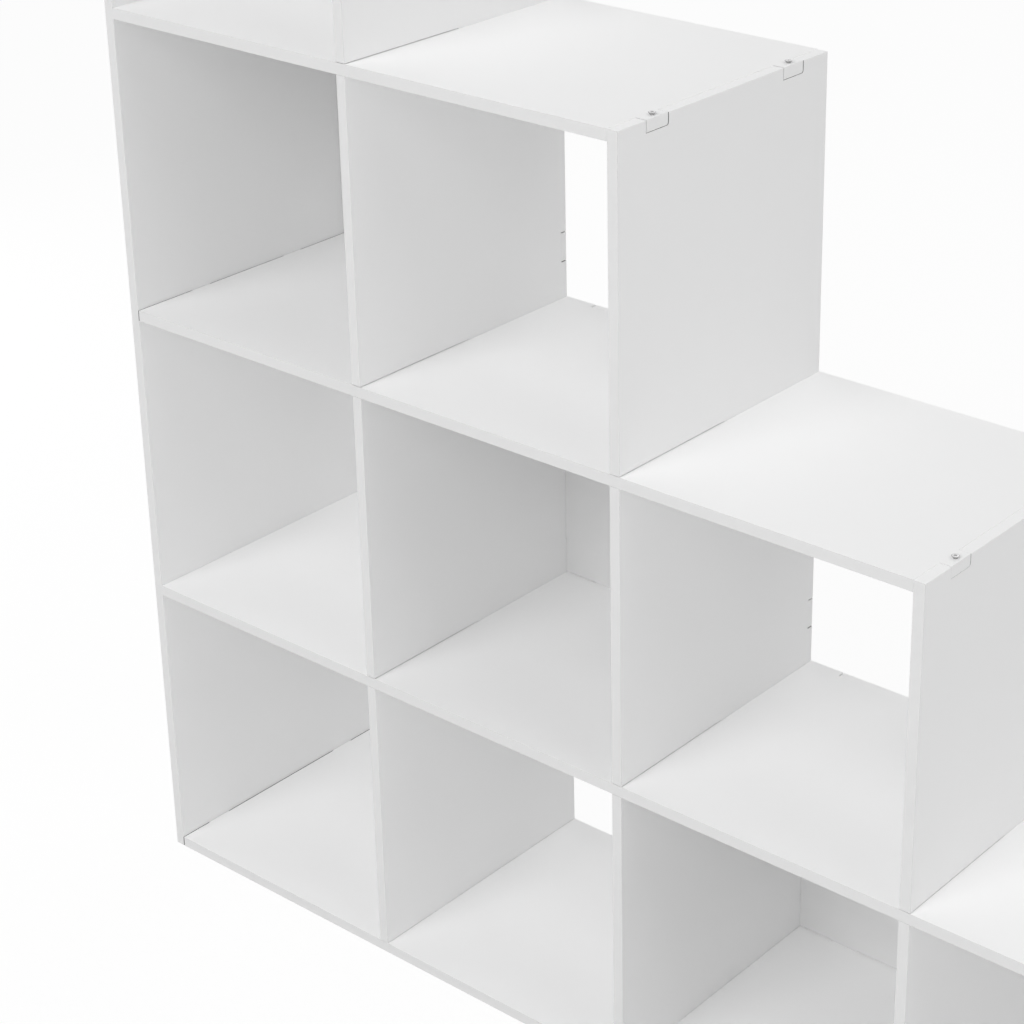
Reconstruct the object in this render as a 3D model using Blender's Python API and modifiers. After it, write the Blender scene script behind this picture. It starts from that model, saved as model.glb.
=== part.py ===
# Stair-step cube bookcase: thin boards that slot, tab and screw together.
# Metres, +Z up, the open front faces -Y, the stairs fall towards +X.
# The origin is on the floor, under the middle of the bounding box.

import math

import bmesh
import bpy

# Overall grid
STEPS = 4  # columns, and cells in the tallest column
PITCH = 0.336  # from one board to the next, across and up
BOARD = 0.012  # thickness of the uprights and shelves
DEPTH = 0.321  # front edge to back edge
PANEL = 0.008  # thickness of the back panels

# Tabs at a corner, where a shelf ends on an upright's top or foot
CORNER_TAB = 0.031
CORNER_INSET = 0.041  # from the front or back edge to the tab

# Tabs where a board ends against the middle of another
TEE_TAB = 0.026
TEE_INSET = 0.078

# Tabs round a back panel
PANEL_TAB = 0.032
PANEL_INSET = 0.043  # from the inside corner of the cell to the tab

# Countersunk screws
HEAD_DIAMETER = 0.0075
HEAD_RIM = 0.0004
HEAD_HEIGHT = 0.0026
HEAD_PROUD = 0.0022  # top of the head above a shelf, as the photo shows it
HEAD_SINK = 0.0003  # top of the head below the face under the bottom board, clear of the floor
SHANK_DIAMETER = 0.0038
SCREW_LENGTH = 0.040
TIP_LENGTH = 0.005
RECESS_SPAN = 0.0046
RECESS_WIDTH = 0.0011
RECESS_DEPTH = 0.0018
ROUND_STEPS = 16
SHARP_ANGLE = math.radians(30)  # a sharper edge than this keeps its crease

# Clearances
FIT = 0.0003  # between pieces that touch
SEAT = 0.0005  # under a tab in its notch, so that a shelf stands this far above the upright's end
SLOT_PLAY = 0.0008  # above a shelf in an upright's slot
TAB_PLAY = 0.0012  # behind a tab in its notch or mortise
PANEL_PLAY = 0.0008  # at both ends of a back panel's tab in its notch
BUTT = 0.0012  # between a shelf's left end and the left side
OVERCUT = 0.001  # how far a cutter runs past the face that it cuts
AXIS_MERGE = 0.00005  # points of a turned profile this near its axis become one

SPAN = STEPS * PITCH + BOARD  # overall width, and height
CELL = PITCH - BOARD
FRONT = -DEPTH / 2
BACK = DEPTH / 2

LACQUER = ("white_lacquered_fibreboard", (0.85, 0.85, 0.85), 0.42, 0.0)
ZINC = ("zinc_plated_steel", (0.62, 0.62, 0.62), 0.35, 1.0)

POINT_DOWN = (0.0, 0.0, 0.0)
POINT_UP = (math.pi, 0.0, 0.0)


def new_collection(name):
    collection = bpy.data.collections.new(name)
    bpy.context.scene.collection.children.link(collection)
    return collection


def material(name, colour, roughness, metallic):
    found = bpy.data.materials.get(name)
    if found:
        return found
    made = bpy.data.materials.new(name)
    made.use_nodes = True
    shader = made.node_tree.nodes["Principled BSDF"]
    shader.inputs["Base Color"].default_value = (*colour, 1.0)
    shader.inputs["Roughness"].default_value = roughness
    shader.inputs["Metallic"].default_value = metallic
    made.diffuse_color = (*colour, 1.0)
    return made


def place(name, mesh, collection, location=(0.0, 0.0, 0.0), rotation=POINT_DOWN):
    obj = bpy.data.objects.new(name, mesh)
    collection.objects.link(obj)
    obj.location = location
    obj.rotation_euler = rotation
    return obj


def cutter(name, mesh, location=(0.0, 0.0, 0.0), rotation=POINT_DOWN):
    obj = place(name, mesh, cutters, location, rotation)
    obj.hide_render = True
    obj.display_type = "WIRE"
    return obj


def cut(obj, tool, name):
    boolean = obj.modifiers.new(name, "BOOLEAN")
    boolean.operation = "DIFFERENCE"
    boolean.solver = "EXACT"
    boolean.object = tool


def boxes(name, spaces):
    # One mesh of separate boxes, each given by its reach along X, Y and Z.
    work = bmesh.new()
    for space in spaces:
        made = bmesh.ops.create_cube(work, size=1.0)["verts"]
        sizes = [high - low for low, high in space]
        middle = [(low + high) / 2 for low, high in space]
        bmesh.ops.scale(work, vec=sizes, verts=made)
        bmesh.ops.translate(work, vec=middle, verts=made)
    mesh = bpy.data.meshes.new(name)
    work.to_mesh(mesh)
    work.free()
    return mesh


def sawn(name, blank, finish, *cuts):
    # A board sawn from a blank, with its origin at the blank's middle. The cuts stand where they are made.
    sizes = [high - low for low, high in blank]
    middle = [(low + high) / 2 for low, high in blank]
    mesh = boxes(name, [[(-size / 2, size / 2) for size in sizes]])
    mesh.materials.append(material(*finish))
    board = place(name, mesh, parts, middle)
    for number, spaces in enumerate(cuts, 1):
        tool = f"cut_{number}_in_{name}"
        cut(board, cutter(tool, boxes(tool, spaces)), f"cut {number}")
    return board


def past(low, high):
    # A reach that runs clear through a board's thickness.
    return (low - OVERCUT, high + OVERCUT)


def left_face(column):
    # Left face of an upright, counted from the left side.
    return -SPAN / 2 + column * PITCH


def underside(level):
    # Underside of a shelf, counted from the bottom board.
    return level * PITCH


def cells_along(number):
    # How many cells the upright or shelf of this number runs past.
    return STEPS if number == 0 else STEPS - number + 1


def pair(low, high, inset, width):
    # Two tabs, the same distance in from both ends of an edge.
    return [(low + inset, low + inset + width), (high - inset - width, high - inset)]


def corner_tabs():
    return pair(FRONT, BACK, CORNER_INSET, CORNER_TAB)


def tee_tabs():
    return pair(FRONT, BACK, TEE_INSET, TEE_TAB)


def eased(tabs):
    # The openings that take tabs: a close fit in front and play behind.
    return [(low - FIT, high + TAB_PLAY) for low, high in tabs]


def between(tabs, low, high):
    # The stretches of an edge that are sawn away to leave its tabs standing.
    ends = [low - OVERCUT, *(end for tab in tabs for end in tab), high + OVERCUT]
    return list(zip(ends[0::2], ends[1::2]))


def panel_notches(number, origin):
    # Where the tabs of the diagonal cells' panels cross the back edge of an upright or shelf.
    notches = []
    for row in (STEPS - number, STEPS - number - 1):
        if 1 <= row < STEPS:
            low = origin(row - 1) + BOARD
            notches += pair(low, low + CELL, PANEL_INSET, PANEL_TAB)
    return [(low - PANEL_PLAY, high + PANEL_PLAY) for low, high in notches]


def upright(name, column):
    cells = cells_along(column)
    face = left_face(column)
    top = underside(cells) + BOARD - SEAT
    through = past(face, face + BOARD)
    cuts = [(through, tab, (top - BOARD, top + OVERCUT)) for tab in eased(corner_tabs())]
    if column in (0, STEPS):
        cuts += [(through, tab, (-OVERCUT, BOARD + FIT)) for tab in eased(corner_tabs())]
    else:
        cuts += [(through, gap, (-OVERCUT, BOARD + FIT)) for gap in between(tee_tabs(), FRONT, BACK)]
    for level in range(1, cells):
        low = underside(level) - FIT
        high = underside(level) + BOARD
        if column == 0:
            cuts += [(through, tab, (low, high + FIT)) for tab in eased(tee_tabs())]
        else:
            cuts.append((through, (FRONT - OVERCUT, FIT / 2), (low, high + SLOT_PLAY)))
    notch = (BACK - PANEL - FIT, BACK + OVERCUT)
    cuts += [(through, notch, tab) for tab in panel_notches(column, underside)]
    return sawn(name, [(face, face + BOARD), (FRONT, BACK), (0.0, top)], LACQUER, cuts)


def shelf(name, level):
    cells = cells_along(level)
    face = underside(level)
    left = left_face(0)
    right = left_face(cells) + BOARD
    through = past(face, face + BOARD)
    left_tabs = corner_tabs() if level in (0, STEPS) else tee_tabs()
    left_end = (left - OVERCUT, left + BOARD + BUTT)
    right_end = (right - BOARD - FIT, right + OVERCUT)
    cuts = [(left_end, gap, through) for gap in between(left_tabs, FRONT, BACK)]
    cuts += [(right_end, gap, through) for gap in between(corner_tabs(), FRONT, BACK)]
    for column in range(1, cells):
        width = (left_face(column) - FIT, left_face(column) + BOARD + FIT)
        if level == 0:
            cuts += [(width, tab, through) for tab in eased(tee_tabs())]
        else:
            cuts.append((width, (-FIT / 2, BACK + OVERCUT), through))
    notch = (BACK - PANEL - FIT, BACK + OVERCUT)
    cuts += [(tab, notch, through) for tab in panel_notches(level, left_face)]
    return sawn(name, [(left, right), (FRONT, BACK), (face, face + BOARD)], LACQUER, cuts)


def back_panel(name, column):
    # It closes the back of the diagonal cell in this column, with two tabs through each board round it.
    left = left_face(column - 1) + BOARD
    low = underside(STEPS - column - 1) + BOARD
    right = left + CELL
    high = low + CELL
    through = past(BACK - PANEL, BACK)
    left_edge = (left - BOARD - OVERCUT, left + FIT)
    right_edge = (right - FIT, right + BOARD + OVERCUT)
    low_edge = (low - BOARD - OVERCUT, low + FIT)
    high_edge = (high - FIT, high + BOARD + OVERCUT)
    beside = between(pair(low, high, PANEL_INSET, PANEL_TAB), low - BOARD, high + BOARD)
    along = between(pair(left, right, PANEL_INSET, PANEL_TAB), left - BOARD, right + BOARD)
    side_cuts = [(edge, through, gap) for edge in (left_edge, right_edge) for gap in beside]
    end_cuts = [(gap, through, edge) for edge in (low_edge, high_edge) for gap in along]
    blank = [(left - BOARD, right + BOARD), (BACK - PANEL, BACK), (low - BOARD, high + BOARD)]
    return sawn(name, blank, LACQUER, side_cuts, end_cuts)


def turned(name, profile, collection):
    # A closed round solid about Z, from a profile that runs down its outer side.
    mesh = bpy.data.meshes.new(name)
    steps = [(i, i + 1) for i in range(len(profile) - 1)]
    mesh.from_pydata([(x, 0.0, z) for x, z in profile], steps, [])
    obj = place(name, mesh, collection)
    turn = obj.modifiers.new("turn", "SCREW")
    turn.steps = ROUND_STEPS
    turn.render_steps = ROUND_STEPS
    turn.use_merge_vertices = True
    turn.merge_threshold = AXIS_MERGE
    return obj


def finished_mesh(obj, name):
    # The object's shape with its modifiers, as a mesh of its own. The object goes.
    bpy.context.view_layer.update()
    graph = bpy.context.evaluated_depsgraph_get()
    mesh = bpy.data.meshes.new_from_object(obj.evaluated_get(graph))
    mesh.name = name
    bpy.data.objects.remove(obj)
    return mesh


def screw_mesh():
    # Countersunk head at the origin, point down -Z, with a cross recess.
    profile = [
        (0.0, 0.0),
        (HEAD_DIAMETER / 2, 0.0),
        (HEAD_DIAMETER / 2, -HEAD_RIM),
        (SHANK_DIAMETER / 2, -HEAD_HEIGHT),
        (SHANK_DIAMETER / 2, TIP_LENGTH - SCREW_LENGTH),
        (0.0, -SCREW_LENGTH),
    ]
    blank = turned("screw_blank", profile, parts)
    arm = (-RECESS_SPAN / 2, RECESS_SPAN / 2)
    width = (-RECESS_WIDTH / 2, RECESS_WIDTH / 2)
    deep = (-RECESS_DEPTH, OVERCUT)
    for name, space in (("recess_along", (arm, width, deep)), ("recess_across", (width, arm, deep))):
        cut(blank, cutter(name, boxes(name, [space])), name)
    mesh = finished_mesh(blank, "screw")
    mesh.materials.clear()
    mesh.materials.append(material(*ZINC))
    mesh.shade_smooth()
    mesh.set_sharp_from_angle(angle=SHARP_ANGLE)
    return mesh


def screw_hole_mesh():
    # The countersink, as far as the head goes in, then the bore through the tab and into the upright's edge.
    head = HEAD_DIAMETER / 2 + FIT
    shank = SHANK_DIAMETER / 2 + FIT
    profile = [
        (0.0, HEAD_SINK + OVERCUT),
        (head, HEAD_SINK + OVERCUT),
        (head, -HEAD_RIM),
        (shank, -HEAD_HEIGHT),
        (shank, -SCREW_LENGTH - FIT),
        (0.0, -SCREW_LENGTH - FIT),
    ]
    return finished_mesh(turned("screw_hole_blank", profile, cutters), "screw_hole")


def screwed_corner(label, shelf_board, column, height, rotation):
    # Two screws through a shelf's corner tabs into the edge of the upright that holds them.
    for where, (low, high) in zip(("front", "back"), corner_tabs()):
        spot = (left_face(column) + BOARD / 2, (low + high) / 2, height)
        place(f"screw_{label}_{where}", screw_solid, parts, spot, rotation)
        hole = cutter(f"screw_hole_{label}_{where}", hole_solid, spot, rotation)
        for board in (shelf_board, uprights[column]):
            cut(board, hole, hole.name)


for old in list(bpy.data.objects):
    bpy.data.objects.remove(old, do_unlink=True)

parts = new_collection("stair_step_bookcase")
cutters = new_collection("cutters")

inner = range(1, STEPS)
upright_names = ["left_side", *(f"divider_{i}" for i in inner), "right_side"]
shelf_names = ["bottom_board", *(f"shelf_{i}" for i in inner), "top_board"]
uprights = [upright(name, column) for column, name in enumerate(upright_names)]
shelves = [shelf(name, level) for level, name in enumerate(shelf_names)]
for column in inner:
    back_panel(f"back_panel_{column}", column)

screw_solid = screw_mesh()
hole_solid = screw_hole_mesh()
for level in range(1, STEPS + 1):
    head = underside(level) + BOARD + HEAD_PROUD
    screwed_corner(shelf_names[level] + "_right", shelves[level], cells_along(level), head, POINT_DOWN)
screwed_corner("top_board_left", shelves[STEPS], 0, SPAN + HEAD_PROUD, POINT_DOWN)
screwed_corner("bottom_board_left", shelves[0], 0, HEAD_SINK, POINT_UP)
screwed_corner("bottom_board_right", shelves[0], STEPS, HEAD_SINK, POINT_UP)
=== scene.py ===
import math

import bmesh
import bpy
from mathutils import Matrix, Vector


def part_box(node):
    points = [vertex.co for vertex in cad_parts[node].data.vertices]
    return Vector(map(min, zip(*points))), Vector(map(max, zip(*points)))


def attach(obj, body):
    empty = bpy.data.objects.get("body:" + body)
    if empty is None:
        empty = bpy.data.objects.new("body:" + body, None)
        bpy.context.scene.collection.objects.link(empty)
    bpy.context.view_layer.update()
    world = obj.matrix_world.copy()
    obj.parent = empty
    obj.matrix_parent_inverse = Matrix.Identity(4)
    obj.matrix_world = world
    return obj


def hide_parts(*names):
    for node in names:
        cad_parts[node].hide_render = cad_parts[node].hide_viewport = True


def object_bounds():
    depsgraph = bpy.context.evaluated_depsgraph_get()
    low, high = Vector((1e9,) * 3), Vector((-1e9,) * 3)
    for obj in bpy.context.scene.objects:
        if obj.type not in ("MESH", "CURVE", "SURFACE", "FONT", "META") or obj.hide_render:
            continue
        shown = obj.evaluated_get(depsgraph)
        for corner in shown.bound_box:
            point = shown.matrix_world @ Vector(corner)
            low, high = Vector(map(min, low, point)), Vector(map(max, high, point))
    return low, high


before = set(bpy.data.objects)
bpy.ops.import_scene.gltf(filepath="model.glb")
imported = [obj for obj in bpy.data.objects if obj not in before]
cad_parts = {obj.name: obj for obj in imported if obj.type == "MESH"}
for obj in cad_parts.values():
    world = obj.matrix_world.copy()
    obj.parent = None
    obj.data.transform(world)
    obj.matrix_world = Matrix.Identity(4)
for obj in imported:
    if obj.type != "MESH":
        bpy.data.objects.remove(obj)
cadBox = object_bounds()
print("frame:", len(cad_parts), "nodes")

# where the boards are, read from the frame
uprightNames = ["left_side", "divider_1", "divider_2", "divider_3", "right_side"]
shelfNames = ["bottom_board", "shelf_1", "shelf_2", "shelf_3", "top_board"]
panelNames = ["back_panel_1", "back_panel_2", "back_panel_3"]
screwNames = sorted(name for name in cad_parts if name.startswith("screw_"))
leftFaces = [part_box(name)[0].x for name in uprightNames]
undersides = [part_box(name)[0].z for name in shelfNames]
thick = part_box("left_side")[1].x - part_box("left_side")[0].x
frontY = cadBox[0].y
backY = cadBox[1].y
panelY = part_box("back_panel_1")[0].y  # front face of the panels
steps = len(uprightNames) - 1
cell = leftFaces[1] - leftFaces[0] - thick

onPlane = 1e-6  # metres; nearer than this, a point lies in a plane
atCorner = 1e-5  # and at a corner
alongX, alongY = 0, 1  # axes by number


def selectOnly(*things):
    bpy.ops.object.select_all(action="DESELECT")
    for thing in things:
        thing.select_set(True)
    bpy.context.view_layer.objects.active = things[0]


def addBlock(name, reach):
    # a cube at its size and place; reach is (low, high) along X, Y and Z
    bpy.ops.object.select_all(action="DESELECT")
    sizes = [high - low for low, high in reach]
    middle = [(low + high) / 2 for low, high in reach]
    bpy.ops.mesh.primitive_cube_add(size=1, location=middle, scale=sizes)
    block = bpy.context.object
    block.name = name
    bpy.ops.object.transform_apply(location=True, rotation=True, scale=True)
    return block


def joined(things):
    selectOnly(*things)
    if len(things) > 1:
        bpy.ops.object.join()
    return things[0]


def applyLast(thing):
    selectOnly(thing)
    bpy.ops.object.modifier_apply(modifier=thing.modifiers[-1].name)


def sawOut(thing, tool):
    saw = thing.modifiers.new("saw", "BOOLEAN")
    saw.operation = "DIFFERENCE"
    saw.solver = "EXACT"
    saw.object = tool
    applyLast(thing)
    bpy.data.objects.remove(tool)


def openShape(thing, pick):
    # edit mode with nothing selected, and the mesh, to pick its edges or faces by place
    selectOnly(thing)
    bpy.ops.object.mode_set(mode="EDIT")
    bpy.ops.mesh.select_mode(type=pick)
    bpy.ops.mesh.select_all(action="DESELECT")
    return bmesh.from_edit_mesh(thing.data)


def closeShape():
    bpy.ops.object.mode_set(mode="OBJECT")


def roundAlongX(thing, corners, radius, segments):
    # rounds the edges that run along X through the given (y, z) corners
    shape = openShape(thing, "EDGE")
    for edge in shape.edges:
        a, b = (v.co for v in edge.verts)
        if abs(a.y - b.y) > onPlane or abs(a.z - b.z) > onPlane:
            continue
        edge.select_set(any(abs(a.y - y) < atCorner and abs(a.z - z) < atCorner for y, z in corners))
    bmesh.update_edit_mesh(thing.data)
    bpy.ops.mesh.bevel(offset=radius, segments=segments, affect="EDGES", loop_slide=False)
    closeShape()


# joints: tabs at the sizes of the part, gaps as the photo shows them
joints = {
    "corner": {"inset": 0.041, "width": 0.031},  # tabs at a screwed corner
    "tee": {"inset": 0.078, "width": 0.026},  # tabs through the middle of a board
    "panel": {"inset": 0.043, "width": 0.032},  # tabs round a back panel
    "close": 0.0001,  # pushed together: closer than the part, so that no line shows
    "pressed": 0.00002,  # a shelf's right end against its upright
    "snug": 0.0003,  # a divider's foot on the bottom board, as in the part
    "slotPlay": 0.0006,  # above a shelf in an upright's slot
    # a tab in its notch: the gaps in front of it, behind it and under it;
    # the part has 0.3, 1.2 and 0.5 mm everywhere
    "loose": {"front": 0.0006, "back": 0.0012, "seat": 0.0005},
    "tight": {"front": 0.0001, "back": 0.0008, "seat": 0.0002},
    "tightShelf": "shelf_2",
    "lift": 0.0004,  # how far a shelf stands above the end of its upright
    # before and after a panel's tab, in an upright and in a shelf
    "panelPlay": {"upright": (0.0013, 0.0013), "shelf": (0.0016, 0.0001)},
    "panelFoot": 0.0008,  # under a panel between its tabs, the dark line there
    # from the left ends of the shelves to the left side, bottom board first
    "butts": (0.0008, 0.0001, 0.0006, 0.0001, 0.0001),
    "housing": 0.0006,  # strip on the left side, set back where a shelf's end stays open
    "past": 0.001,  # how far a cutter runs out of the board
    "cornerRound": 0.0028,  # cutter radius at the back of a corner notch
    "roundSegments": 5,
}


def tabPair(kind, low, high):
    tab = joints[kind]
    near = low + tab["inset"]
    far = high - tab["inset"]
    return [(near, near + tab["width"]), (far - tab["width"], far)]


cornerTabs = tabPair("corner", frontY, backY)
teeTabs = tabPair("tee", frontY, backY)
backNotch = (panelY - joints["close"], backY + joints["past"])


def fitAt(level):
    return joints["tight" if shelfNames[level] == joints["tightShelf"] else "loose"]


def loosened(tabs, fit):
    return [(low - fit["front"], high + fit["back"]) for low, high in tabs]


def gapsBetween(tabs, low, high):
    ends = [low - joints["past"], *(end for tab in tabs for end in tab), high + joints["past"]]
    return list(zip(ends[0::2], ends[1::2]))


def through(low):
    return (low - joints["past"], low + thick + joints["past"])


def cellsAlong(number):
    return steps if number == 0 else steps - number + 1


def panelNotches(kind, number, faces):
    before, after = joints["panelPlay"][kind]
    notches = []
    for row in (steps - number, steps - number - 1):
        if 1 <= row < steps:
            low = faces[row - 1] + thick
            notches += tabPair("panel", low, low + cell)
    return [(low - before, high + after) for low, high in notches]


def cornerNotch(reachX, tab, reachZ, roundZ):
    block = addBlock("notch", (reachX, tab, reachZ))
    roundAlongX(block, [(tab[1], roundZ)], joints["cornerRound"], joints["roundSegments"])
    return block


def housings():
    # strips on the left side that face the open ends of shelves
    inner = leftFaces[0] + thick
    reachX = (inner - joints["housing"], inner + joints["past"])
    reachY = (frontY - joints["past"], backY + joints["past"])
    strips = []
    for level, butt in enumerate(joints["butts"]):
        if butt > joints["close"]:
            low = undersides[level] - (joints["past"] if level == 0 else 0)
            strips.append(addBlock("housing", (reachX, reachY, (low, undersides[level] + thick))))
    return strips


def uprightTools(column):
    # everything that is sawn out of an upright
    cells = cellsAlong(column)
    across = through(leftFaces[column])
    fit = fitAt(cells)
    seat = undersides[cells] - fit["seat"]
    reachZ = (seat, undersides[cells] + thick + joints["past"])
    tools = [cornerNotch(across, tab, reachZ, seat) for tab in loosened(cornerTabs, fit)]
    foot = -joints["past"]
    if column in (0, steps):
        seat = thick + joints["close"]
        footTabs = loosened(cornerTabs, fitAt(0))
        tools += [cornerNotch(across, tab, (foot, seat), seat) for tab in footTabs]
    else:
        reachZ = (foot, thick + joints["snug"])
        gaps = gapsBetween(teeTabs, frontY, backY)
        tools += [addBlock("foot", (across, gap, reachZ)) for gap in gaps]
    for level in range(1, cells):
        low = undersides[level] - joints["close"]
        high = undersides[level] + thick
        if column == 0:
            reachZ = (low, high + joints["close"])
            openings = loosened(teeTabs, fitAt(level))
            tools += [addBlock("mortise", (across, tab, reachZ)) for tab in openings]
        else:
            reachY = (frontY - joints["past"], joints["close"] / 2)
            tools.append(addBlock("slot", (across, reachY, (low, high + joints["slotPlay"]))))
    notches = panelNotches("upright", column, undersides)
    tools += [addBlock("notch", (across, backNotch, tab)) for tab in notches]
    return tools


def shelfTools(level):
    # everything that is sawn out of a shelf
    cells = cellsAlong(level)
    across = through(undersides[level])
    left = leftFaces[0]
    right = leftFaces[cells] + thick
    leftTabs = cornerTabs if level in (0, steps) else teeTabs
    leftEnd = (left - joints["past"], left + thick + joints["butts"][level])
    rightEnd = (right - thick - joints["pressed"], right + joints["past"])
    tools = []
    for end, tabs in ((leftEnd, leftTabs), (rightEnd, cornerTabs)):
        tools += [addBlock("end", (end, gap, across)) for gap in gapsBetween(tabs, frontY, backY)]
    for column in range(1, cells):
        width = (leftFaces[column] - joints["close"], leftFaces[column] + thick + joints["close"])
        if level == 0:
            openings = loosened(teeTabs, fitAt(0))
            tools += [addBlock("mortise", (width, tab, across)) for tab in openings]
        else:
            reachY = (-joints["close"] / 2, backY + joints["past"])
            tools.append(addBlock("slot", (width, reachY, across)))
    notches = panelNotches("shelf", level, leftFaces)
    tools += [addBlock("notch", (tab, backNotch, across)) for tab in notches]
    return tools


def panelTools(column):
    # corners and edges sawn away round a back panel, to leave its tabs
    left = leftFaces[column - 1] + thick
    low = undersides[steps - column - 1] + thick
    reachY = (panelY - joints["past"], backY + joints["past"])
    edgeX = [(left - thick - joints["past"], left + joints["close"]),
             (left + cell - joints["close"], left + cell + thick + joints["past"])]
    edgeZ = [(low - thick - joints["past"], low + joints["panelFoot"]),
             (low + cell - joints["close"], low + cell + thick + joints["past"])]
    gapsZ = gapsBetween(tabPair("panel", low, low + cell), low - thick, low + cell + thick)
    gapsX = gapsBetween(tabPair("panel", left, left + cell), left - thick, left + cell + thick)
    sides = [addBlock("side", (edge, reachY, gap)) for edge in edgeX for gap in gapsZ]
    ends = [addBlock("end", (gap, reachY, edge)) for edge in edgeZ for gap in gapsX]
    return sides, ends


# screw sizes, and the countersunk holes that take them
screwSizes = {
    "head": 0.0075,
    "rim": 0.0004,
    "rimSlope": (0.0005, 0.0002),  # how far in, and how far down, the worn edge of the head goes
    "headHeight": 0.0026,
    "lift": 0.0006,  # the heads stand out this much more than in the part
    "shank": 0.0038,
    "length": 0.040,
    "tip": 0.005,
    "point": 0.0002,  # radius at the very end of the tip
    "sides": 32,
    "smooth": math.radians(35),
    "recessSpan": 0.0046,
    "recessWidth": 0.0011,
    "recessDepth": 0.0018,
    "recessTaper": 0.45,  # arms at the recess floor, of their length at the face
    "turns": (0.3, 1.1, 0.7, 1.4, 0.15, 0.9),  # how the heads happen to be turned, in radians
    "drillPast": 0.002,  # how far the cutter of a hole stands out above the head
}


def turnedDown(name, rings, sides):
    # a round solid about Z, drawn out ring by ring from its top; a ring is (radius, z)
    bpy.ops.object.select_all(action="DESELECT")
    radius, height = rings[0]
    bpy.ops.mesh.primitive_circle_add(
        vertices=sides, radius=radius, fill_type="NGON", location=(0, 0, height))
    solid = bpy.context.object
    solid.name = name
    bpy.ops.object.transform_apply(location=True, rotation=True, scale=True)
    openShape(solid, "FACE")
    bpy.ops.mesh.select_all(action="SELECT")
    for nextRadius, nextHeight in rings[1:]:
        bpy.ops.mesh.extrude_region_move(TRANSFORM_OT_translate={"value": (0, 0, nextHeight - height)})
        factor = nextRadius / radius
        bpy.ops.transform.resize(value=(factor, factor, 1))
        radius, height = nextRadius, nextHeight
    bpy.ops.mesh.select_all(action="SELECT")
    bpy.ops.mesh.normals_make_consistent(inside=False)
    closeShape()
    return solid


def screwAxis(node):
    low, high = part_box(node)
    return (low.x + high.x) / 2, (low.y + high.y) / 2


def putScrew(thing, node, turn):
    # head at the board's face, point into the board
    low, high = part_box(node)
    upsideDown = "bottom_board" in node
    headZ = low.z if upsideDown else high.z + screwSizes["lift"]
    thing.location = (*screwAxis(node), headZ)
    thing.rotation_euler = (math.pi if upsideDown else 0, 0, turn)
    selectOnly(thing)
    bpy.ops.object.transform_apply(location=True, rotation=True, scale=True)


def screwHoles(nodes):
    # countersink and bore for each screw, ready to saw out
    size = screwSizes
    wide = size["head"] / 2 + joints["close"]
    bore = size["shank"] / 2 + joints["close"]
    rings = [(wide, size["drillPast"]), (wide, -size["rim"]),
             (bore, -size["headHeight"]), (bore, -size["length"] - joints["close"])]
    holes = []
    for node in nodes:
        hole = turnedDown("hole", rings, size["sides"])
        putScrew(hole, node, 0)
        holes.append(hole)
    return joined(holes)


easing = {
    "outline": 0.0004,  # radius on the board's own long edges
    "sawn": 0.00005,  # radius on what the saw and cutter leave, nearly sharp
    "segments": 3,
    "sharp": math.radians(40),  # edges that turn by more are eased
    "clearOfScrews": 0.0052,  # nearer to a screw's axis they stay crisp
    "flatness": 100,  # large faces keep their shading flat up to the rounding
}


def boardBox(board):
    points = [v.co for v in board.data.vertices]
    low = [min(p[axis] for p in points) for axis in range(3)]
    high = [max(p[axis] for p in points) for axis in range(3)]
    return low, high


def easeEdges(board, screws, seam):
    # small radii all round, the way a sanded and lacquered board has them;
    # seam is the x of an upright's face that a shelf's end is pressed against at its top
    low, high = boardBox(board)
    axes = [screwAxis(node) for node in screws]
    shape = openShape(board, "EDGE")
    weights = shape.edges.layers.float.new("bevel_weight_edge")
    for edge in shape.edges:
        if len(edge.link_faces) != 2 or edge.calc_face_angle() < easing["sharp"]:
            continue
        middle = (edge.verts[0].co + edge.verts[1].co) / 2
        if any(math.hypot(middle.x - x, middle.y - y) < easing["clearOfScrews"] for x, y in axes):
            continue
        planes = 0
        for axis in range(3):
            for bound in (low[axis], high[axis]):
                planes += all(abs(v.co[axis] - bound) < onPlane for v in edge.verts)
        atTop = abs(middle.z - high[2]) < onPlane
        pressed = seam is not None and abs(middle.x - seam) < onPlane and atTop
        edge[weights] = 1.0 if planes >= 2 and not pressed else easing["sawn"] / easing["outline"]
    bmesh.update_edit_mesh(board.data)
    closeShape()
    bevel = board.modifiers.new("ease", "BEVEL")
    bevel.width = easing["outline"]
    bevel.segments = easing["segments"]
    bevel.limit_method = "WEIGHT"
    bevel.loop_slide = False
    applyLast(board)
    selectOnly(board)
    bpy.ops.object.shade_smooth()
    level = board.modifiers.new("level", "WEIGHTED_NORMAL")
    level.weight = easing["flatness"]
    level.keep_sharp = True
    applyLast(board)


# materials
def linearColour(hexText):
    # sRGB hex to linear
    parts = [int(hexText[i:i + 2], 16) / 255 for i in (1, 3, 5)]
    return [p / 12.92 if p <= 0.04045 else ((p + 0.055) / 1.055) ** 2.4 for p in parts] + [1.0]


def addNode(tree, kind, settings, sockets):
    # a node with its settings; a socket takes a value, or a link as (node, output)
    node = tree.nodes.new(kind)
    for key, value in settings.items():
        setattr(node, key, value)
    for key, value in sockets.items():
        if isinstance(value, tuple) and isinstance(value[0], bpy.types.Node):
            tree.links.new(value[0].outputs[value[1]], node.inputs[key])
        else:
            node.inputs[key].default_value = value
    return node


def newMaterial(name):
    made = bpy.data.materials.new(name)
    made.use_nodes = True
    made.node_tree.nodes.clear()
    return made, made.node_tree


def perMetre(millimetres):
    # texture scale for a pattern that repeats over this many millimetres
    return 1000 / millimetres


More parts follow.
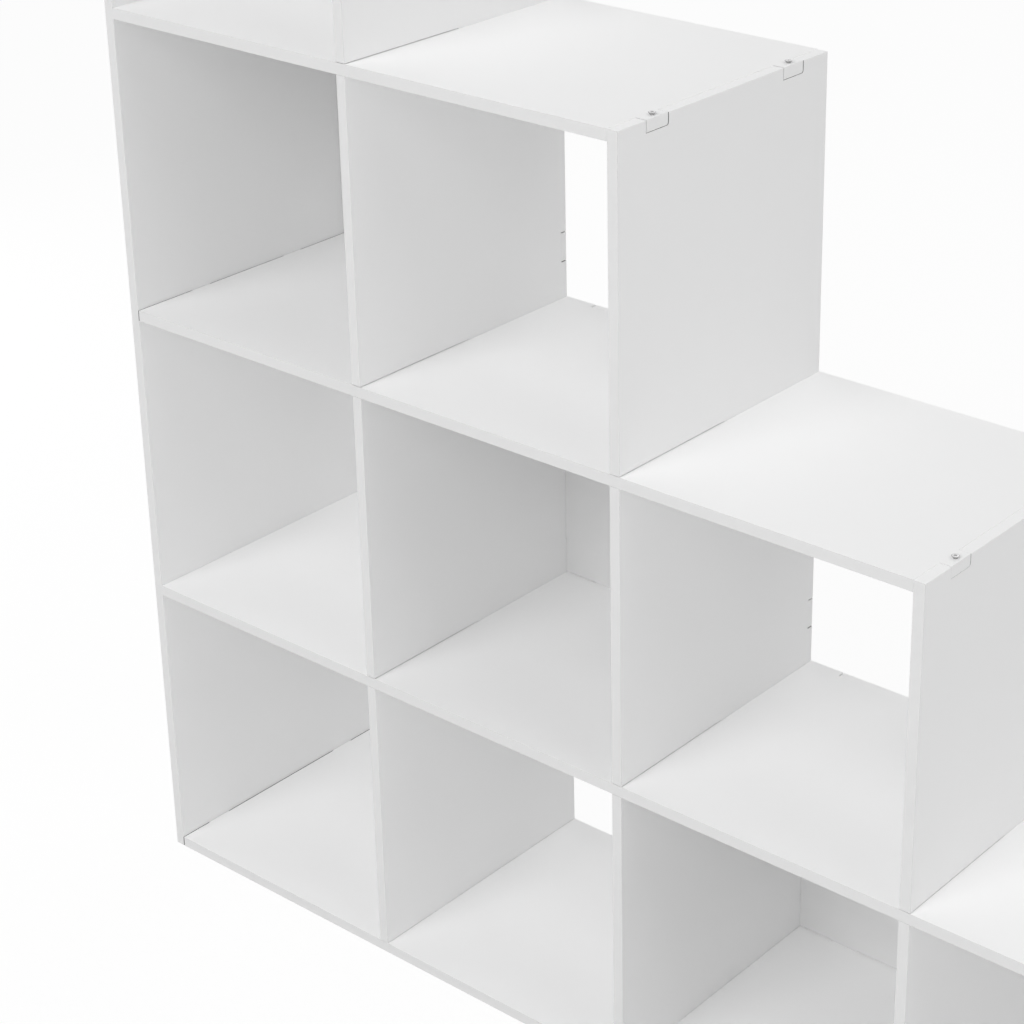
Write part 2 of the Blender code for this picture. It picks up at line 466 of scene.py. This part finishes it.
mixA, mixB, mixed = 6, 7, 2  # sockets of a mix node that mixes colours
noiseDetail = {"cloud": 3.0, "peel": 2.0, "patch": 4.0}
noiseSpan = (0.3, 0.7)  # where most of the noise lies
bumpStrength = 0.5

# white lacquer on fibreboard: rolled on and cured flat, so a clean satin white,
# with a faint orange peel in the gloss and hardly any change of tone
lacquerLooks = {
    "white": "#f9f9f9",
    "shade": "#f7f7f7",  # where the coat lies a little thinner
    "cloud": 90,  # mm, patches of thinner coat
    "peel": 3.5,  # mm; real peel is under 1 mm, drawn coarser so that it shows
    "peelHeight": 0.00002,
    "roughness": (0.62, 0.72),
    "ior": 1.5,
}


def coatedBoard(name, looks):
    made, tree = newMaterial(name)
    place = addNode(tree, "ShaderNodeTexCoord", {}, {})
    cloud = addNode(tree, "ShaderNodeTexNoise", {}, {
        "Vector": (place, "Object"), "Scale": perMetre(looks["cloud"]), "Detail": noiseDetail["cloud"]})
    tone = addNode(tree, "ShaderNodeMix", {"data_type": "RGBA"}, {
        "Factor": (cloud, "Fac"), mixA: linearColour(looks["shade"]), mixB: linearColour(looks["white"])})
    peel = addNode(tree, "ShaderNodeTexNoise", {}, {
        "Vector": (place, "Object"), "Scale": perMetre(looks["peel"]), "Detail": noiseDetail["peel"]})
    gloss = addNode(tree, "ShaderNodeMapRange", {}, {
        "Value": (cloud, "Fac"), "From Min": noiseSpan[0], "From Max": noiseSpan[1],
        "To Min": looks["roughness"][0], "To Max": looks["roughness"][1]})
    bump = addNode(tree, "ShaderNodeBump", {}, {
        "Height": (peel, "Fac"), "Strength": bumpStrength, "Distance": looks["peelHeight"]})
    shader = addNode(tree, "ShaderNodeBsdfPrincipled", {}, {
        "Base Color": (tone, mixed), "Roughness": (gloss, "Result"),
        "Normal": (bump, "Normal"), "IOR": looks["ior"]})
    addNode(tree, "ShaderNodeOutputMaterial", {}, {"Surface": (shader, "BSDF")})
    return made


# the same lacquer on the front and back edges and the sides of tabs, a little rougher; its darker white
# is painted shade for the dimmer light on these faces
edgeShadeLooks = {
    "white": "#dddddd",
    "shade": "#d9d9d9",
    "cloud": 25,
    "peel": 2.0,
    "peelHeight": 0.00004,
    "roughness": (0.66, 0.76),
    "ior": 1.5,
}

# lacquered fibreboard of the back panels, flatter than the boards; its darker white is painted shade for
# the dim back of the cells
panelShadeLooks = {
    "white": "#e0e0e0",
    "shade": "#dcdcdc",
    "cloud": 70,
    "peel": 2.5,
    "peelHeight": 0.00003,
    "roughness": (0.66, 0.76),
    "ior": 1.5,
}

# painted shade inside the joints: every face hidden in a gap gets this dull dark grey, so that the gaps
# look dark
jointShadeLooks = {
    "white": "#969696",
    "shade": "#868686",
    "cloud": 12,
    "peel": 1.5,
    "peelHeight": 0.00006,
    "roughness": (0.80, 0.90),
    "ior": 1.4,
}

# zinc-plated steel: pressed heads, bright grey with slightly cloudy plating
zincLooks = {
    "light": "#e4e4e4",
    "dark": "#cecece",
    "patch": 1.2,  # mm
    "roughness": (0.28, 0.42),
}

# the same plating under the head and in the recess, darker: painted shade for the shadow under the head
# and in the cross
shadedZincLooks = {
    "light": "#bebebe",
    "dark": "#a4a4a4",
    "patch": 1.2,
    "roughness": (0.40, 0.55),
}


def platedSteel(name, looks):
    made, tree = newMaterial(name)
    place = addNode(tree, "ShaderNodeTexCoord", {}, {})
    patch = addNode(tree, "ShaderNodeTexNoise", {}, {
        "Vector": (place, "Object"), "Scale": perMetre(looks["patch"]), "Detail": noiseDetail["patch"]})
    tone = addNode(tree, "ShaderNodeMix", {"data_type": "RGBA"}, {
        "Factor": (patch, "Fac"), mixA: linearColour(looks["dark"]), mixB: linearColour(looks["light"])})
    gloss = addNode(tree, "ShaderNodeMapRange", {}, {
        "Value": (patch, "Fac"), "To Min": looks["roughness"][0], "To Max": looks["roughness"][1]})
    shader = addNode(tree, "ShaderNodeBsdfPrincipled", {}, {
        "Base Color": (tone, mixed), "Roughness": (gloss, "Result"), "Metallic": 1.0})
    addNode(tree, "ShaderNodeOutputMaterial", {}, {"Surface": (shader, "BSDF")})
    return made


boardFace = coatedBoard("white lacquered fibreboard", lacquerLooks)
edgeShade = coatedBoard("white lacquer with painted edge shade", edgeShadeLooks)
panelShade = coatedBoard("white back panel with painted shade", panelShadeLooks)
jointShade = coatedBoard("painted shade in the joints", jointShadeLooks)
zincSteel = platedSteel("zinc-plated steel", zincLooks)
shadedZinc = platedSteel("zinc-plated steel with painted shade", shadedZincLooks)

turnedTo = 0.2  # a face counts as facing along an axis from this cosine up


def anywhere(face):
    return True


def atFrontOrBack(face):
    # the front and back edges of a board, with their rounding
    away = min(abs(face.center.y - frontY), abs(face.center.y - backY))
    return abs(face.normal.y) > turnedTo and away < easing["outline"]


def roundPanel(face):
    return max(abs(face.normal.x), abs(face.normal.z)) > turnedTo


def underHead(face):
    # all of a screw but the flat of its head, which wears the painted shade
    return face.center.z < -onPlane


def coat(piece, coats):
    # coats are (material, where); a later one covers those before it
    piece.data.materials.clear()
    for index, (material, where) in enumerate(coats):
        piece.data.materials.append(material)
        for face in piece.data.polygons:
            if where(face):
                face.material_index = index


def hangIn(piece, node):
    piece.name = node + "_dressed"
    piece.data.name = piece.name
    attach(piece, "root")
    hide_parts(node)


def screwsAt(name):
    # screws that pass through this board
    low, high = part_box(name)
    found = []
    for node in screwNames:
        screwLow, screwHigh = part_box(node)
        if all(screwLow[i] < high[i] and screwHigh[i] > low[i] for i in range(3)):
            found.append(node)
    return found


def makeBoard(name, top, passes, tabCorners, seam, lacquered):
    # passes are lists of cutters; those in one list don't overlap;
    # sawn faces that look along the lacquered axes wear the coat too
    low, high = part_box(name)
    board = addBlock(name + "_blank", ((low.x, high.x), (low.y, high.y), (low.z, top)))
    for tools in passes:
        sawOut(board, joined(tools))
    if tabCorners:
        roundAlongX(board, tabCorners, joints["cornerRound"] - joints["close"], joints["roundSegments"])
    screws = screwsAt(name)
    if screws:
        sawOut(board, screwHoles(screws))
    easeEdges(board, screws, seam)
    outside = boardBox(board)

    def onOutside(face):
        # on one of the board's own six faces, with their rounding, or on a lacquered sawn face
        for axis in range(3):
            if abs(face.normal[axis]) > turnedTo:
                away = min(abs(face.center[axis] - bound[axis]) for bound in outside)
                if away < easing["outline"] or axis in lacquered:
                    return True
        return False

    def onEdge(face):
        # front and back edges, and the sides of lacquered tabs, which wear the painted edge shade
        return atFrontOrBack(face) or alongY in lacquered and abs(face.normal.y) > turnedTo

    # faces inside the joints get the painted joint shade, the board's own faces the lacquer
    coat(board, [(jointShade, anywhere), (boardFace, onOutside), (edgeShade, onEdge)])
    hangIn(board, name)


for column, name in enumerate(uprightNames):
    seam = leftFaces[column] + (thick if column == 0 else 0)
    top = undersides[cellsAlong(column)] + thick - joints["lift"]
    passes = [uprightTools(column)]
    if column == 0:
        passes.append(housings())
    makeBoard(name, top, passes, [], seam, ())
print("uprights:", len(uprightNames))

for level, name in enumerate(shelfNames):
    # the side of the tabs that the notch closes
    inner = undersides[level] + (thick if level == 0 else 0)
    tabCorners = [(tab[1], inner) for tab in cornerTabs]
    makeBoard(name, undersides[level] + thick, [shelfTools(level)], tabCorners, None, (alongX, alongY))
print("shelves:", len(shelfNames))

for column, name in enumerate(panelNames, 1):
    low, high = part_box(name)
    panel = addBlock(name + "_blank", [(low[i], high[i]) for i in range(3)])
    for tools in panelTools(column):
        sawOut(panel, joined(tools))
    easeEdges(panel, [], None)
    # the panel's front and back faces get the painted shade, its rounded edges the boards' white
    coat(panel, [(panelShade, anywhere), (boardFace, roundPanel)])
    hangIn(panel, name)
print("back panels:", len(panelNames))


def makeScrew():
    # countersunk wood screw about Z, head up at the origin
    size = screwSizes
    inward, down = size["rimSlope"]
    rings = [(size["head"] / 2 - inward, 0), (size["head"] / 2, -down), (size["head"] / 2, -size["rim"]),
             (size["shank"] / 2, -size["headHeight"]), (size["shank"] / 2, size["tip"] - size["length"]),
             (size["point"], -size["length"])]
    screw = turnedDown("screw", rings, size["sides"])
    arm = (-size["recessSpan"] / 2, size["recessSpan"] / 2)
    wide = (-size["recessWidth"] / 2, size["recessWidth"] / 2)
    for reach in ((arm, wide), (wide, arm)):
        tool = addBlock("recess", (*reach, (-size["recessDepth"], joints["past"])))
        shape = openShape(tool, "FACE")
        for face in shape.faces:
            face.select_set(face.normal.z < -turnedTo)
        bmesh.update_edit_mesh(tool.data)
        bpy.ops.transform.resize(value=(size["recessTaper"], size["recessTaper"], 1))
        closeShape()
        sawOut(screw, tool)
    selectOnly(screw)
    bpy.ops.object.shade_smooth_by_angle(angle=size["smooth"])
    coat(screw, [(zincSteel, anywhere), (shadedZinc, underHead)])
    return screw


masterScrew = makeScrew()
for number, node in enumerate(screwNames):
    screw = bpy.data.objects.new(node + "_dressed", masterScrew.data.copy())
    bpy.context.scene.collection.objects.link(screw)
    putScrew(screw, node, screwSizes["turns"][number % len(screwSizes["turns"])])
    hangIn(screw, node)
bpy.data.objects.remove(masterScrew)
print("screws:", len(screwNames))

# floor
floorLooks = {
    "side": 30.0,
    "drop": 0.0003,  # below the bottom board, so that the two don't share a plane
    "bounce": "#f2f2f2",
    "shadow": 0.08,  # how much of the shadow the camera sees
}
pureWhite = (1, 1, 1, 1)


def seenDirectly(tree):
    # 1 where the camera looks, straight or by way of a shine, 0 for light that bounces about
    rays = addNode(tree, "ShaderNodeLightPath", {}, {})
    glossy = addNode(tree, "ShaderNodeMath", {"operation": "MAXIMUM"}, {
        0: (rays, "Is Camera Ray"), 1: (rays, "Is Glossy Ray")})
    return addNode(tree, "ShaderNodeMath", {"operation": "MAXIMUM"}, {
        0: (glossy, 0), 1: (rays, "Is Transmission Ray")})


def paleFloor(looks):
    # pale sheet that bounces light; to the camera it is white and keeps a soft shadow
    made, tree = newMaterial("pale studio sheet")
    sheet = addNode(tree, "ShaderNodeBsdfDiffuse", {}, {"Color": linearColour(looks["bounce"])})
    seen = addNode(tree, "ShaderNodeBsdfDiffuse", {}, {"Color": pureWhite})
    glow = addNode(tree, "ShaderNodeEmission", {}, {"Color": pureWhite, "Strength": 1.0})
    white = addNode(tree, "ShaderNodeMixShader", {}, {0: looks["shadow"], 1: (glow, 0), 2: (seen, 0)})
    direct = seenDirectly(tree)
    both = addNode(tree, "ShaderNodeMixShader", {}, {0: (direct, 0), 1: (sheet, 0), 2: (white, 0)})
    addNode(tree, "ShaderNodeOutputMaterial", {}, {"Surface": (both, 0)})
    return made


bpy.ops.object.select_all(action="DESELECT")
floorZ = cadBox[0].z - floorLooks["drop"]
bpy.ops.mesh.primitive_plane_add(size=floorLooks["side"], location=(0, 0, floorZ))
floor = bpy.context.object
floor.name = "floor"
floor.data.materials.append(paleFloor(floorLooks))

# light
studio = {
    "dome": 0.33,
    "aim": (0.0, 0.0, 0.6),
    "boxes": {  # where each stands, its side in metres and its watts
        "front wall": {"place": (0.0, -13.9, 8.6), "side": 10.0, "power": 885.0},
        "front ceiling": {"place": (0.0, -10.3, 12.9), "side": 10.0, "power": 396.0},
        "right ceiling": {"place": (11.3, 0.0, 11.9), "side": 10.0, "power": 450.0},
        "back ceiling": {"place": (0.0, 11.3, 11.9), "side": 10.0, "power": 271.0},
        "beside camera": {"place": (1.4, -2.6, 2.4), "side": 1.6, "power": 12.5},
        "left": {"place": (-2.8, 0.0, 1.0), "side": 1.6, "power": 15.0},
    },
}


def whiteWorld(looks):
    # the dome lights the bookcase; to the camera the background is plain white
    world = bpy.data.worlds.new("studio")
    bpy.context.scene.world = world
    world.use_nodes = True
    tree = world.node_tree
    tree.nodes.clear()
    dome = addNode(tree, "ShaderNodeBackground", {}, {"Color": pureWhite, "Strength": looks["dome"]})
    seen = addNode(tree, "ShaderNodeBackground", {}, {"Color": pureWhite, "Strength": 1.0})
    direct = seenDirectly(tree)
    both = addNode(tree, "ShaderNodeMixShader", {}, {0: (direct, 0), 1: (dome, 0), 2: (seen, 0)})
    addNode(tree, "ShaderNodeOutputWorld", {}, {"Surface": (both, 0)})


whiteWorld(studio)
for name, box in studio["boxes"].items():
    bpy.ops.object.light_add(type="AREA", location=box["place"])
    lamp = bpy.context.object
    lamp.name = name + " soft box"
    lamp.data.size = box["side"]
    lamp.data.energy = box["power"]
    facing = Vector(studio["aim"]) - Vector(box["place"])
    lamp.rotation_euler = facing.to_track_quat("-Z", "Y").to_euler()
    lamp.visible_camera = False
print("floor and light")

# camera, matched to the board corners in the photo
photoCamera = {
    "place": (1.35912, -1.80919, 1.70283),
    "turn": (66.7942, 0.4447, 39.5060),  # degrees
    "lens": 89.518,
    "sensor": 36.0,
    "shift": (-0.09145, -0.13449),
}
bpy.ops.object.camera_add(location=photoCamera["place"])
camera = bpy.context.object
camera.rotation_euler = [math.radians(angle) for angle in photoCamera["turn"]]
camera.data.lens = photoCamera["lens"]
camera.data.sensor_width = photoCamera["sensor"]
camera.data.shift_x, camera.data.shift_y = photoCamera["shift"]
bpy.context.scene.camera = camera
bpy.context.scene.view_settings.view_transform = "Standard"
print("camera")
